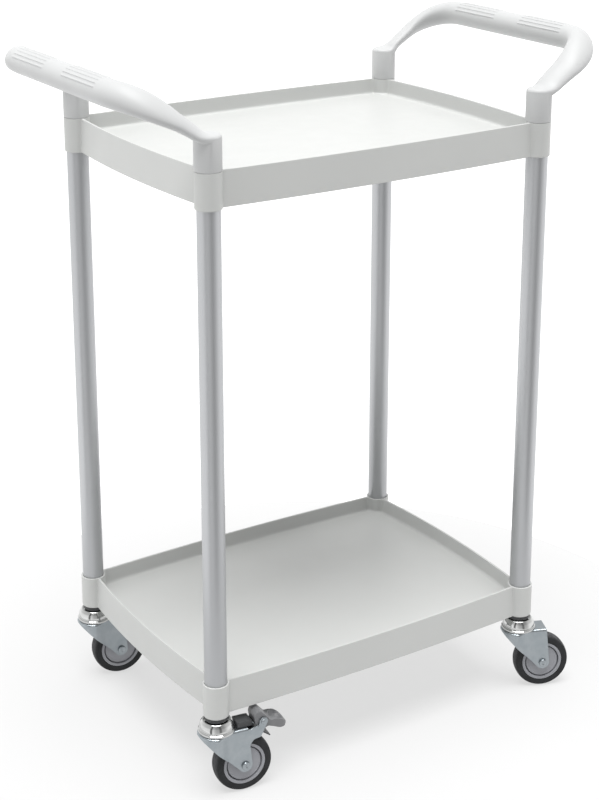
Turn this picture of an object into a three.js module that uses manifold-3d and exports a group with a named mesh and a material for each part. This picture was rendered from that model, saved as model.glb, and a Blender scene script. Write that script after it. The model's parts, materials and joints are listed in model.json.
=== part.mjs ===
// Two-shelf food service trolley: moulded trays on aluminium posts, two loop handles,
// four swivel stem casters, two of them with a toggle brake.
// Millimetres, +Z up, +X along the long side, floor at Z = 0, origin under the centre.
import * as THREE from 'three';
import { mergeVertices } from 'three/addons/utils/BufferGeometryUtils.js';
import Module from 'manifold-3d';

const wasm = await Module();
wasm.setup();

// Layout
const POST_X = 255;
const POST_Y = 180;
const GAP = 0.3;

// Levels of the two trays (top of the walls)
const LOWER_RIM = 164.7;
const UPPER_RIM = 851.2;

// Posts and the sockets around them
const POST_R = 15;
const POST_WALL = 1.5;
const POST_BOTTOM = 121.8;
const POST_TOP = 887;
const SOCKET_R = 17.4;
const SOCKET_BORE_R = 15.4;
const SOCKET_HEIGHT = 47.3;
const SOCKET_CHAMFER = 2.2;
const WEB_THICK = 4;
const STEM_HOLE_R = 6;

// Tray pan
const TRAY_END_X = 253.5;
const TRAY_SIDE_Y = 183.8;
const END_BOW = 11;
const SIDE_BOW = 7.8;
const WALL_DRAFT = 1.7;
const WALL_THICK = 3;
const WALL_HEIGHT = 46.6;
const RECESS_DEPTH = 22.5;
const FLOOR_THICK = 3;
const RIB_THICK = 2.4;
const RIB_DROP = 13;

// Handles
const GRIP_X = 356;
const GRIP_Z = 947;
const CORNER_R = 59;
const ARM_ROOT_Z = 890.2;
const ARM_START_X = 259.5;
const ARM_RISE_POWER = 1.25;
const ARM_HALF_WIDTH = 17;
const ARM_HALF_THICK = 7.4;
const ARM_TILT = 21;
const GRIP_HALF_WIDTH = 18.2;
const GRIP_HALF_THICK = 16.9;
const GRIP_TILT = 35;
const HANDLE_SOCKET_TOP = 898;
const HANDLE_BORE_TOP = 887.5;
const RIB_GROUP_START = 26;
const RIB_GROUP_END = 118;
const GRIP_RIBS = 8;
const GRIP_RIB_ARC = 126;
const GRIP_RIB_LIFT = 0.9;

// Caster
const WHEEL_R = 40;
const TRAIL = 35;
const TYRE_HALF_WIDTH = 11;
const CORE_R = 29.6;
const FORK_HALF_WIDTH = 15;
const FORK_SHEET = 2.6;
const CROWN_R = 25.8;
const CROWN_TOP = 94;
const CROWN_THICK = 3;
const LEG_END_R = 9.9;
const RACE_R = 24.6;
const RACE_BOTTOM = 94.6;
const RACE_TOP = 111.8;
const COLLAR_R = 16;
const STEM_R = 5;
const STEM_TOP = 153;
const AXLE_R = 4;

// Brake
const PIVOT_U = 61.2;
const PIVOT_Z = 99;
const EAR_R = 6;
const PEDAL_HALF_WIDTH = 11.8;
const PADDLE_HALF_WIDTH = 13.6;

// Facets
const POST_SEG = 24;
const TYRE_SEG = 24;
const CORE_SEG = 18;
const RACE_SEG = 20;
const STEM_SEG = 12;
const SMALL_SEG = 10;

const CORNERS = [
  { name: 'left_front', x: -POST_X, y: -POST_Y, heading: -8.5, brake: true },
  { name: 'left_back', x: -POST_X, y: POST_Y, heading: -8, brake: false },
  { name: 'right_front', x: POST_X, y: -POST_Y, heading: -23, brake: false },
  { name: 'right_back', x: POST_X, y: POST_Y, heading: 16.7, brake: true },
];

const group = new THREE.Group();
group.name = 'food_service_trolley';

const FINISH = {
  tray: { color: 0xc9cbc8, roughness: 0.45, metalness: 0 },
  handle: { color: 0xe9eaea, roughness: 0.4, metalness: 0 },
  post: { color: 0xbfc1c3, roughness: 0.35, metalness: 1 },
  plug: { color: 0x303234, roughness: 0.6, metalness: 0 },
  zinc: { color: 0xaab0b6, roughness: 0.35, metalness: 1 },
  chrome: { color: 0xd8dadc, roughness: 0.1, metalness: 1 },
  tyre: { color: 0x45464a, roughness: 0.8, metalness: 0 },
  core: { color: 0x86888c, roughness: 0.5, metalness: 0 },
  pedal: { color: 0x77787b, roughness: 0.5, metalness: 0 },
  dark: { color: 0x2b2d30, roughness: 0.5, metalness: 0 },
};

// ---- solid helpers -------------------------------------------------------------------

function solid(geometry) {
  const plain = geometry.clone();
  plain.deleteAttribute('normal');
  plain.deleteAttribute('uv');
  const merged = mergeVertices(plain, 1e-4);
  return new wasm.Manifold(new wasm.Mesh({
    numProp: 3,
    vertProperties: new Float32Array(merged.attributes.position.array),
    triVerts: new Uint32Array(merged.index.array),
  }));
}

function geometryOf(body) {
  const mesh = body.getMesh();
  const geometry = new THREE.BufferGeometry();
  geometry.setAttribute('position', new THREE.BufferAttribute(new Float32Array(mesh.vertProperties), 3));
  geometry.setIndex(new THREE.BufferAttribute(new Uint32Array(mesh.triVerts), 1));
  geometry.computeVertexNormals();
  return geometry;
}

function put(name, geometry, finish) {
  const mesh = new THREE.Mesh(geometry, new THREE.MeshStandardMaterial(FINISH[finish]));
  mesh.name = name;
  group.add(mesh);
}

// Closed solid of revolution about Z from a profile of [radius, z] pairs that runs
// anticlockwise with the radius to the right.
function turned(profile, segments) {
  const points = profile.map(([r, z]) => new THREE.Vector2(r, z));
  const onAxis = profile[0][0] === 0 && profile[profile.length - 1][0] === 0;
  if (!onAxis) points.push(points[0].clone());
  const geometry = new THREE.LatheGeometry(points, segments);
  geometry.rotateX(Math.PI / 2);
  return solid(geometry);
}

function rod(radius, z0, z1, segments) {
  return turned([[0, z0], [radius, z0], [radius, z1], [0, z1]], segments);
}

function box(x0, x1, y0, y1, z0, z1) {
  const geometry = new THREE.BoxGeometry(x1 - x0, y1 - y0, z1 - z0);
  geometry.translate((x0 + x1) / 2, (y0 + y1) / 2, (z0 + z1) / 2);
  return solid(geometry);
}

// Upright prism from a list of [x, y] points.
function prism(outline, z0, z1) {
  const shape = new THREE.Shape(outline.map(([x, y]) => new THREE.Vector2(x, y)));
  const geometry = new THREE.ExtrudeGeometry(shape, { depth: z1 - z0, bevelEnabled: false });
  geometry.translate(0, 0, z0);
  return solid(geometry);
}

// Side-profile prism: [x, z] points pushed along Y between the two half widths.
function slab(outline, y0, y1) {
  const shape = new THREE.Shape(outline.map(([x, z]) => new THREE.Vector2(x, z)));
  const geometry = new THREE.ExtrudeGeometry(shape, { depth: y1 - y0, bevelEnabled: false });
  geometry.rotateX(Math.PI / 2);
  geometry.translate(0, y1, 0);
  return solid(geometry);
}

// Skin over a list of rings with equal counts, closed by fans at both ends.
function skin(rings) {
  const count = rings[0].length;
  const positions = [];
  const index = [];
  for (const ring of rings) {
    for (const p of ring) positions.push(p.x, p.y, p.z);
  }
  for (let i = 0; i < rings.length - 1; i += 1) {
    for (let j = 0; j < count; j += 1) {
      const a = i * count + j;
      const b = i * count + ((j + 1) % count);
      index.push(a, b, b + count, a, b + count, a + count);
    }
  }
  const last = (rings.length - 1) * count;
  for (let j = 1; j < count - 1; j += 1) {
    index.push(0, j + 1, j);
    index.push(last, last + j, last + j + 1);
  }
  const geometry = new THREE.BufferGeometry();
  geometry.setAttribute('position', new THREE.Float32BufferAttribute(positions, 3));
  geometry.setIndex(index);
  return solid(geometry);
}

function arc(cx, cy, radius, from, to, steps) {
  const points = [];
  for (let i = 0; i <= steps; i += 1) {
    const angle = THREE.MathUtils.degToRad(from + ((to - from) * i) / steps);
    points.push([cx + radius * Math.cos(angle), cy + radius * Math.sin(angle)]);
  }
  return points;
}

function smooth(value) {
  const t = THREE.MathUtils.clamp(value, 0, 1);
  return t * t * (3 - 2 * t);
}

// ---- trays ---------------------------------------------------------------------------

// Outline of the pan at one level: straight-ish sides bowed outward between the posts.
function panOutline(offset) {
  const sideSteps = 8;
  const endSteps = 8;
  const endX = TRAY_END_X + offset;
  const sideY = TRAY_SIDE_Y + offset;
  const points = [];
  for (let i = 0; i < sideSteps; i += 1) {
    const t = -1 + (2 * i) / sideSteps;
    points.push([endX * t, -sideY - SIDE_BOW * (1 - t * t)]);
  }
  for (let i = 0; i < endSteps; i += 1) {
    const t = -1 + (2 * i) / endSteps;
    points.push([endX + END_BOW * (1 - t * t), sideY * t]);
  }
  for (let i = 0; i < sideSteps; i += 1) {
    const t = 1 - (2 * i) / sideSteps;
    points.push([endX * t, sideY + SIDE_BOW * (1 - t * t)]);
  }
  for (let i = 0; i < endSteps; i += 1) {
    const t = 1 - (2 * i) / endSteps;
    points.push([-endX - END_BOW * (1 - t * t), sideY * t]);
  }
  return points;
}

function panBody(z0, z1, offset0, offset1) {
  const ring = (offset, z) => panOutline(offset).map(([x, y]) => new THREE.Vector3(x, y, z));
  return skin([ring(offset0, z0), ring(offset1, z1)]);
}

function trayBody(rim, isLower) {
  const base = rim - SOCKET_HEIGHT;
  const skirt = rim - WALL_HEIGHT;
  const floorTop = rim - RECESS_DEPTH;
  const floorUnder = floorTop - FLOOR_THICK;
  const posts = CORNERS.map((c) => [c.x, c.y]);

  let sockets = null;
  for (const [x, y] of posts) {
    const column = turned([
      [0, base],
      [SOCKET_R - 1.4, base],
      [SOCKET_R, base + SOCKET_CHAMFER],
      [SOCKET_R, rim],
      [0, rim],
    ], POST_SEG).translate([x, y, 0]);
    sockets = sockets ? sockets.add(column) : column;
  }

  let ribs = null;
  for (const x of [-110, 110]) {
    const rib = box(x - RIB_THICK / 2, x + RIB_THICK / 2, -200, 200, floorUnder - RIB_DROP, floorUnder + 1);
    ribs = ribs ? ribs.add(rib) : rib;
  }
  ribs = ribs.add(box(-275, 275, -RIB_THICK / 2, RIB_THICK / 2, floorUnder - RIB_DROP, floorUnder + 1));

  const inner = -WALL_THICK;
  const recess = panBody(floorTop, rim + 5, inner - 1, inner).subtract(sockets);
  const hollow = panBody(skirt - 5, floorUnder, inner + WALL_DRAFT, inner + WALL_DRAFT - 0.8)
    .subtract(sockets).subtract(ribs);
  let body = panBody(skirt, rim, WALL_DRAFT, 0).add(sockets).subtract(recess).subtract(hollow);

  for (const [x, y] of posts) {
    const start = isLower ? base + WEB_THICK : base - 1;
    body = body.subtract(rod(SOCKET_BORE_R, start, rim + 1, POST_SEG).translate([x, y, 0]));
    if (isLower) {
      body = body.subtract(rod(STEM_HOLE_R, base - 1, base + WEB_THICK + 1, STEM_SEG).translate([x, y, 0]));
    }
  }
  return body;
}

put('tray_upper', geometryOf(trayBody(UPPER_RIM, false)), 'tray');
put('tray_lower', geometryOf(trayBody(LOWER_RIM, true)), 'tray');

// ---- posts ---------------------------------------------------------------------------

for (const corner of CORNERS) {
  const tube = turned([
    [POST_R - POST_WALL, POST_BOTTOM],
    [POST_R, POST_BOTTOM],
    [POST_R, POST_TOP],
    [POST_R - POST_WALL, POST_TOP],
  ], POST_SEG).translate([corner.x, corner.y, 0]);
  put(`post_${corner.name}`, geometryOf(tube), 'post');

  const plugR = POST_R - POST_WALL - 0.4;
  const plug = turned([
    [STEM_R + GAP, POST_BOTTOM],
    [plugR, POST_BOTTOM],
    [plugR - 1, 159],
    [STEM_R + GAP, 159],
  ], 16).translate([corner.x, corner.y, 0]);
  put(`post_plug_${corner.name}`, geometryOf(plug), 'plug');
}

// ---- handles -------------------------------------------------------------------------

// Centre line of one half of a handle in plan: out from the post, round the corner and
// along the grip to the middle. The height depends on how far out the point lies.
function handlePoint(s) {
  const straight = GRIP_X - CORNER_R - ARM_START_X;
  const bend = (CORNER_R * Math.PI) / 2;
  let x;
  let y;
  if (s < straight) {
    x = ARM_START_X + s;
    y = POST_Y;
  } else if (s < straight + bend) {
    const angle = (s - straight) / CORNER_R;
    x = GRIP_X - CORNER_R + CORNER_R * Math.sin(angle);
    y = POST_Y - CORNER_R + CORNER_R * Math.cos(angle);
  } else {
    x = GRIP_X;
    y = POST_Y - CORNER_R - (s - straight - bend);
  }
  const t = THREE.MathUtils.clamp((x - ARM_START_X) / (GRIP_X - ARM_START_X), 0, 1);
  const z = GRIP_Z - (GRIP_Z - ARM_ROOT_Z) * (1 - t) ** ARM_RISE_POWER;
  return new THREE.Vector3(x, y, z);
}

// Oval section of the bar at distance s, its outer edge tilted down.
function handleRing(s, count) {
  const centre = handlePoint(s);
  const ahead = handlePoint(s + 0.5).sub(handlePoint(s - 0.5)).normalize();
  const outward = new THREE.Vector3(ahead.y, -ahead.x, 0).multiplyScalar(-1).normalize();
  const upward = new THREE.Vector3().crossVectors(outward, ahead).normalize();
  if (upward.z < 0) upward.multiplyScalar(-1);
  const straight = GRIP_X - CORNER_R - ARM_START_X;
  const growth = smooth(s / (straight + (CORNER_R * Math.PI) / 2));
  const width = THREE.MathUtils.lerp(ARM_HALF_WIDTH, GRIP_HALF_WIDTH, growth);
  const thick = THREE.MathUtils.lerp(ARM_HALF_THICK, GRIP_HALF_THICK, growth);
  const tilt = THREE.MathUtils.degToRad(THREE.MathUtils.lerp(ARM_TILT, GRIP_TILT, growth));
  const across = outward.clone().multiplyScalar(Math.cos(tilt))
    .addScaledVector(upward, -Math.sin(tilt));
  const normal = upward.clone().multiplyScalar(Math.cos(tilt))
    .addScaledVector(outward, Math.sin(tilt));
  const ring = [];
  for (let i = 0; i < count; i += 1) {
    const angle = (2 * Math.PI * i) / count;
    ring.push(centre.clone()
      .addScaledVector(across, width * Math.cos(angle))
      .addScaledVector(normal, thick * Math.sin(angle)));
  }
  return ring;
}

// Low ridge along one half of the grip; the bearing is measured from +X over the top.
function gripRib(bearing, side) {
  const angle = THREE.MathUtils.degToRad(bearing);
  const tilt = THREE.MathUtils.degToRad(GRIP_TILT);
  const along = Math.cos(angle + tilt) / GRIP_HALF_WIDTH;
  const over = Math.sin(angle + tilt) / GRIP_HALF_THICK;
  const radius = 1 / Math.hypot(along, over);
  const point = (out, sideways) => [
    GRIP_X + (radius + out) * Math.cos(angle) - sideways * Math.sin(angle),
    GRIP_Z + (radius + out) * Math.sin(angle) + sideways * Math.cos(angle),
  ];
  const ends = [side * RIB_GROUP_START, side * RIB_GROUP_END].sort((a, b) => a - b);
  return slab([
    point(-1.4, -1.5),
    point(GRIP_RIB_LIFT, -0.5),
    point(GRIP_RIB_LIFT, 0.5),
    point(-1.4, 1.5),
  ], ends[0], ends[1]);
}

function handleBody() {
  const count = 16;
  const straight = GRIP_X - CORNER_R - ARM_START_X;
  const bend = (CORNER_R * Math.PI) / 2;
  const stations = [-4, 9, 23];
  for (let i = 0; i <= 6; i += 1) stations.push(straight + (bend * i) / 6);
  const half = stations.map((s) => handleRing(s, count));
  const mirrored = half.map((ring) => ring.map((p) => new THREE.Vector3(p.x, -p.y, p.z)));
  const rings = [...half, ...mirrored.reverse()];
  const sweep = skin(rings);
  let body = sweep;
  for (const y of [POST_Y, -POST_Y]) {
    const socket = turned([
      [0, UPPER_RIM + GAP],
      [SOCKET_R, UPPER_RIM + GAP],
      [SOCKET_R, HANDLE_SOCKET_TOP - 4],
      [SOCKET_R - 4, HANDLE_SOCKET_TOP],
      [0, HANDLE_SOCKET_TOP],
    ], POST_SEG).translate([POST_X, y, 0]);
    body = body.add(socket);
  }
  for (const y of [POST_Y, -POST_Y]) {
    body = body.subtract(rod(SOCKET_BORE_R, UPPER_RIM - 1, HANDLE_BORE_TOP, POST_SEG)
      .translate([POST_X, y, 0]));
  }
  for (let i = 0; i < GRIP_RIBS; i += 1) {
    const bearing = 90 - GRIP_RIB_ARC / 2 + (GRIP_RIB_ARC * i) / (GRIP_RIBS - 1);
    for (const side of [-1, 1]) body = body.add(gripRib(bearing, side));
  }
  return body;
}

const rightHandle = handleBody();
put('handle_right', geometryOf(rightHandle), 'handle');
put('handle_left', geometryOf(rightHandle.rotate([0, 0, 180])), 'handle');

// ---- casters -------------------------------------------------------------------------

// Local frame of a caster: swivel axis on Z, wheel trailing toward +X, axle along Y.

function forkBody(brake) {
  const w = FORK_HALF_WIDTH;
  const sheet = FORK_SHEET;
  const half = [...arc(0, 0, CROWN_R, 180, 105, 5), [8.4, 19], [19.6, w]];
  const innerHalf = [
    ...arc(0, 0, CROWN_R - sheet, 180, 105, 5), [7.6, 16.6], [19.1, w - sheet],
  ];
  const rear = 82;
  const close = (points) => [
    ...points,
    [rear, points[points.length - 1][1]],
    [rear, -points[points.length - 1][1]],
    ...points.slice(1).reverse().map(([x, y]) => [x, -y]),
  ].reverse();
  const outside = prism(close(half), 10, CROWN_TOP + 15);
  const inside = prism(close(innerHalf), 9, CROWN_TOP - CROWN_THICK);
  const above = prism(close(innerHalf), CROWN_TOP, CROWN_TOP + 16);
  const sideProfile = [
    [-CROWN_R - 2, CROWN_TOP],
    [-CROWN_R - 2, CROWN_TOP - CROWN_THICK],
    [-CROWN_R, CROWN_TOP - CROWN_THICK],
    ...arc(TRAIL, WHEEL_R, LEG_END_R, 223, 368, 6),
    [42.2, 67],
  ];
  if (brake) {
    sideProfile.push([42.4, 72.6], [46.9, 76], [57.2, 77.4], [62.9, 82.4]);
    sideProfile.push(...arc(PIVOT_U, PIVOT_Z, EAR_R, -20, 180, 5));
    sideProfile.push([54.4, CROWN_TOP + 0.6], [52.5, CROWN_TOP]);
  } else {
    sideProfile.push([39.5, CROWN_TOP]);
  }
  let body = outside.subtract(inside).subtract(above).intersect(slab(sideProfile, -40, 40));
  body = body.subtract(box(39.5, 90, -(w - sheet), w - sheet, 5, 120));
  body = body.subtract(rod(STEM_R + 0.8, 80, 100, STEM_SEG));
  body = body.subtract(cross(AXLE_R + 0.5, -30, 30, STEM_SEG, TRAIL, WHEEL_R));
  if (brake) body = body.subtract(cross(2.9, -30, 30, SMALL_SEG, PIVOT_U, PIVOT_Z));
  return body;
}

// Round bar along Y through the point (x, z).
function cross(radius, y0, y1, segments, x, z) {
  return rod(radius, y0, y1, segments).rotate([-90, 0, 0]).translate([x, 0, z]);
}

// Solid of revolution about the axle, from a profile of [radius, offset along the axle].
function onAxle(profile, segments) {
  return turned(profile, segments).rotate([-90, 0, 0]).translate([TRAIL, 0, WHEEL_R]);
}

function tyreBody() {
  const h = TYRE_HALF_WIDTH;
  const inner = CORE_R + GAP;
  return onAxle([
    [inner, -h],
    [WHEEL_R - 2.4, -h],
    [WHEEL_R - 0.6, -h + 2.6],
    [WHEEL_R, 0],
    [WHEEL_R - 0.6, h - 2.6],
    [WHEEL_R - 2.4, h],
    [inner, h],
  ], TYRE_SEG);
}

function coreBody() {
  const rimFace = 10.8;
  const hubFace = 10.3;
  const side = [
    [6.5, -hubFace],
    [24.2, -hubFace],
    [24.2, -hubFace + 1.8],
    [25.3, -hubFace + 1.8],
    [25.3, -rimFace],
    [CORE_R, -rimFace],
  ];
  const mirrored = side.map(([r, y]) => [r, -y]).reverse();
  return onAxle([...side, ...mirrored], CORE_SEG);
}

function pedalBody() {
  const profile = [
    [50.6, 95],
    [54.8, 88.9],
    [61, 85.5],
    [66, 87.4],
    [69.4, 90.1],
    [75, 87.8],
    [84.4, 84.4],
    [92.8, 83.2],
    [96.8, 85.4],
    [96, 89.4],
    [90.5, 95],
    [81.1, 100],
    [74.5, 101.8],
    [67.5, 106.5],
    [59.5, 113.2],
    [54.4, 114],
    [50.8, 111],
    [48.9, 105.6],
  ];
  const a = PEDAL_HALF_WIDTH;
  const b = PADDLE_HALF_WIDTH;
  const planHalf = [
    [47, a], [68.8, a], [71.2, b], [87.2, b],
    ...arc(87.2, b - 11.2, 11.2, 80, 10, 5), [98.4, 0],
  ];
  const plan = [...planHalf, ...planHalf.slice(0, -1).reverse().map(([x, y]) => [x, -y])].reverse();
  return slab(profile, -20, 20)
    .intersect(prism(plan, 60, 130))
    .subtract(cross(2.9, -30, 30, SMALL_SEG, PIVOT_U, PIVOT_Z));
}

function hexOutline(across, x, z) {
  return arc(x, z, across / Math.sqrt(3), 0, 300, 5);
}

function casterParts(brake) {
  const outer = FORK_HALF_WIDTH + GAP;
  const parts = [
    ['stem', turned([
      [0, 87],
      [11, 87],
      [11, CROWN_TOP - CROWN_THICK - 0.4],
      [STEM_R, CROWN_TOP - CROWN_THICK - 0.4],
      [STEM_R, STEM_TOP],
      [0, STEM_TOP],
    ], STEM_SEG), 'zinc'],
    ['collar', turned([
      [STEM_R + 0.4, RACE_TOP + GAP],
      [COLLAR_R, RACE_TOP + GAP],
      [COLLAR_R - 0.6, LOWER_RIM - SOCKET_HEIGHT - GAP],
      [STEM_R + 0.4, LOWER_RIM - SOCKET_HEIGHT - GAP],
    ], 16), 'dark'],
    ['race', turned([
      [STEM_R + 0.4, RACE_BOTTOM],
      [RACE_R, RACE_BOTTOM],
      [RACE_R, RACE_BOTTOM + 7],
      [RACE_R - 1.4, RACE_BOTTOM + 12],
      [RACE_R - 6, RACE_TOP],
      [STEM_R + 0.4, RACE_TOP],
    ], RACE_SEG), 'chrome'],
    ['fork', forkBody(brake), 'zinc'],
    ['tyre', tyreBody(), 'tyre'],
    ['wheel_core', coreBody(), 'core'],
    ['axle_bush', onAxle([[4.5, -12], [6, -12], [6, 12], [4.5, 12]], STEM_SEG), 'zinc'],
    ['axle', onAxle([
      [0, -18.6],
      [4, -18.4],
      [5.8, -outer],
      [AXLE_R, -outer],
      [AXLE_R, 22],
      [0, 22],
    ], STEM_SEG), 'zinc'],
    ['axle_nut', slab(hexOutline(13, TRAIL, WHEEL_R), outer, outer + 5.5)
      .subtract(cross(AXLE_R + 0.4, 10, 30, STEM_SEG, TRAIL, WHEEL_R)), 'zinc'],
  ];
  if (brake) {
    parts.push(['brake_pedal', pedalBody(), 'pedal']);
    parts.push(['brake_pin', turned([
      [0, -16.8],
      [3.6, -16.8],
      [3.6, -outer],
      [2.5, -outer],
      [2.5, outer],
      [3.6, outer],
      [3.6, 16.8],
      [0, 16.8],
    ], SMALL_SEG).rotate([-90, 0, 0]).translate([PIVOT_U, 0, PIVOT_Z]), 'zinc']);
    parts.push(['brake_leaf', slab([
      [14, 89],
      [44, 89],
      [53.5, 84.6],
      [63.3, 78.6],
      [72.4, 72],
      [73.3, 73.3],
      [64.2, 80],
      [54.2, 86.1],
      [44.4, 90.6],
      [14, 90.6],
    ], -9, 9), 'dark']);
    parts.push(['lock_plate', slab([
      [27.6, CROWN_TOP + 0.4],
      [48, CROWN_TOP + 0.4],
      [46.8, 101.4],
      [42, 102.4],
      [29, 102.4],
      [27.6, 100.6],
    ], -10, 10), 'dark']);
  }
  return parts;
}

for (const corner of CORNERS) {
  for (const [part, body, finish] of casterParts(corner.brake)) {
    const placed = body.rotate([0, 0, corner.heading]).translate([corner.x, corner.y, 0]);
    put(`${part}_${corner.name}`, geometryOf(placed), finish);
  }
}

export default group;
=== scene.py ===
"""Food service trolley: the visual model, camera, floor and lights.

Shapes are written in millimetres and scaled to metres when a mesh is made. Every piece
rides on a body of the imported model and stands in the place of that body's own nodes.
"""

import json
import math

import bmesh
import bpy
import numpy as np
from mathutils import Matrix, Vector


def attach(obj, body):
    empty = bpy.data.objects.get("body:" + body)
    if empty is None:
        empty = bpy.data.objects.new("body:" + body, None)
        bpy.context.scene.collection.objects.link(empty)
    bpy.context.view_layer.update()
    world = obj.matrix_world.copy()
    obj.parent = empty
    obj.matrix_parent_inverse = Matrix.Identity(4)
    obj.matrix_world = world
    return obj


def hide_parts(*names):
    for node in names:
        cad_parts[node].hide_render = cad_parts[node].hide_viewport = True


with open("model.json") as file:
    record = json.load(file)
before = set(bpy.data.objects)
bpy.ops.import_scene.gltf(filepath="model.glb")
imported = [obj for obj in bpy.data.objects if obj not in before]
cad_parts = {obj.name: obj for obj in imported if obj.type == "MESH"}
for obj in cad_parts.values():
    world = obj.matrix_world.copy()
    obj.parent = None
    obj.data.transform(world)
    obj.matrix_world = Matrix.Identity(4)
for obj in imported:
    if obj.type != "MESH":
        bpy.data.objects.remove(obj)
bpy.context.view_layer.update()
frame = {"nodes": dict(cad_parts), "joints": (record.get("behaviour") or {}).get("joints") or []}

MM = 0.001

# Levels and sizes shared with the CAD model, in millimetres
LOWER_RIM, UPPER_RIM = 164.7, 851.2
POST_X, POST_Y = 255.0, 180.0
POST_R, POST_WALL = 15.0, 1.5
POST_BOTTOM, POST_TOP = 121.8, 887.0
SOCKET_R, BORE_R = 17.4, 15.4
SOCKET_HEIGHT = 47.3
STEM_HOLE_R, WEB_THICK = 6.0, 4.0           # closed bottom of the lower sockets
TRAY_END_X, TRAY_SIDE_Y = 253.5, 183.8      # tray walls at the corners
END_BOW, SIDE_BOW = 11.0, 7.8               # how far the walls bow out halfway
WALL_DRAFT, WALL_THICK, WALL_HEIGHT = 1.7, 3.0, 46.6
RECESS_DEPTH, FLOOR_THICK = 22.5, 3.0
GRIP_X, GRIP_Z = 356.0, 947.0
CORNER_R = 59.0
ARM_ROOT_Z, ARM_START_X = 890.2, 259.5
HANDLE_TOP, HANDLE_BORE_TOP = 890.5, 887.5
TRAIL, WHEEL_R = 35.0, 40.0
CROWN_TOP, CROWN_THICK = 94.0, 3.0
FORK_HALF_WIDTH, FORK_SHEET = 15.0, 2.6
PIVOT_U, PIVOT_Z = 61.2, 99.0               # brake pivot in the caster's own frame


# ---- materials -----------------------------------------------------------------------

def node(tree, kind, inputs=None, **settings):
    """New shader node with its input values and settings."""
    made = tree.nodes.new(kind)
    for key, value in settings.items():
        setattr(made, key, value)
    for key, value in (inputs or {}).items():
        made.inputs[key].default_value = value
    return made


def field(tree, scale, detail, stretch=(1, 1, 1), roughness=0.55):
    """Noise in the piece's own coordinates, in features per metre."""
    coords = node(tree, "ShaderNodeTexCoord")
    mapping = node(tree, "ShaderNodeMapping", {"Scale": stretch})
    noise = node(tree, "ShaderNodeTexNoise",
                 {"Scale": scale, "Detail": detail, "Roughness": roughness})
    tree.links.new(coords.outputs["Object"], mapping.inputs["Vector"])
    tree.links.new(mapping.outputs["Vector"], noise.inputs["Vector"])
    return noise.outputs["Fac"]


def remap(tree, value, low, high, start=0.3, end=0.7):
    """Value stretched from start..end to low..high."""
    made = node(tree, "ShaderNodeMapRange",
                {"From Min": start, "From Max": end, "To Min": low, "To Max": high})
    tree.links.new(value, made.inputs["Value"])
    return made.outputs["Result"]


def blend_colour(tree, factor, first, second):
    """Colour between two others, by a factor."""
    made = node(tree, "ShaderNodeMix", data_type="RGBA")
    made.inputs["A"].default_value = (*first, 1)
    made.inputs["B"].default_value = (*second, 1)
    tree.links.new(factor, made.inputs["Factor"])
    return made.outputs["Result"]


def surface(name, colour, worn, roughness, spread, cloud, cloud_stretch=(1, 1, 1), metallic=0.0,
            grain=1800.0, grain_depth=0.03, grain_stretch=(1, 1, 1), wave=0.0, specular=0.5):
    """Principled finish: two close tones in soft clouds, uneven gloss, and a fine grain in the bump.

    colour and worn are the two tones, and roughness varies by spread either way. cloud and grain
    are features per metre. grain_depth and wave are the heights in millimetres of the fine grain
    and of a slow unevenness.
    """
    material = bpy.data.materials.new(name)
    material.use_nodes = True
    tree = material.node_tree
    shader = tree.nodes["Principled BSDF"]
    shader.inputs["Metallic"].default_value = metallic
    shader.inputs["Specular IOR Level"].default_value = specular
    clouds = field(tree, cloud, 4.0, cloud_stretch)
    tones = blend_colour(tree, remap(tree, clouds, 0, 1), colour, worn)
    tree.links.new(tones, shader.inputs["Base Color"])
    smears = field(tree, cloud * 4.3, 5.0, cloud_stretch)
    gloss = remap(tree, smears, roughness - spread, roughness + spread)
    tree.links.new(gloss, shader.inputs["Roughness"])
    fine = field(tree, grain, 2.0, grain_stretch, 0.5)
    bump = node(tree, "ShaderNodeBump", {"Strength": 1.0, "Distance": grain_depth * MM})
    tree.links.new(fine, bump.inputs["Height"])
    if wave:
        slow = node(tree, "ShaderNodeBump", {"Strength": 1.0, "Distance": wave * MM})
        tree.links.new(field(tree, 14.0, 1.0), slow.inputs["Height"])
        tree.links.new(slow.outputs["Normal"], bump.inputs["Normal"])
    tree.links.new(bump.outputs["Normal"], shader.inputs["Normal"])
    return material


TRAY = surface("tray_plastic", (0.510, 0.518, 0.507), (0.528, 0.535, 0.524), 0.42, 0.06,
               cloud=6.0, grain=1500.0, grain_depth=0.012, wave=0.25)
HANDLE = surface("handle_plastic", (0.496, 0.502, 0.503), (0.512, 0.517, 0.517), 0.46, 0.05,
                 cloud=8.0, grain=1700.0, grain_depth=0.010, wave=0.2, specular=0.38)
ALUMINIUM = surface("satin_aluminium", (0.455, 0.463, 0.475), (0.480, 0.488, 0.500), 0.44, 0.03,
                    metallic=1.0, cloud=8.0, cloud_stretch=(1, 1, 0.1),
                    grain=2600.0, grain_depth=0.002, grain_stretch=(1, 1, 0.012))
ZINC = surface("zinc_plate", (0.325, 0.360, 0.382), (0.385, 0.415, 0.435), 0.36, 0.08,
               metallic=1.0, cloud=60.0, grain=1400.0, grain_depth=0.012, wave=0.05)
CHROME = surface("chrome", (0.52, 0.525, 0.52), (0.60, 0.605, 0.60), 0.11, 0.03,
                 metallic=1.0, cloud=40.0, grain=900.0, grain_depth=0.002)
CORE = surface("wheel_plastic", (0.262, 0.267, 0.288), (0.296, 0.301, 0.322), 0.48, 0.07,
               cloud=45.0, grain=1500.0, grain_depth=0.02)
PEDAL = surface("pedal_plastic", (0.150, 0.152, 0.158), (0.180, 0.182, 0.188), 0.40, 0.07,
                cloud=60.0, grain=1700.0, grain_depth=0.02)
# Near-black: dark plastic on the lock plate, and painted shade on the collar, where it stands for the
# shaded gap under the socket
DARK_AND_GAP_SHADE = surface("dark_plastic", (0.036, 0.038, 0.040), (0.055, 0.057, 0.060), 0.45, 0.08,
               cloud=60.0, grain=1600.0, grain_depth=0.02)
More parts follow.
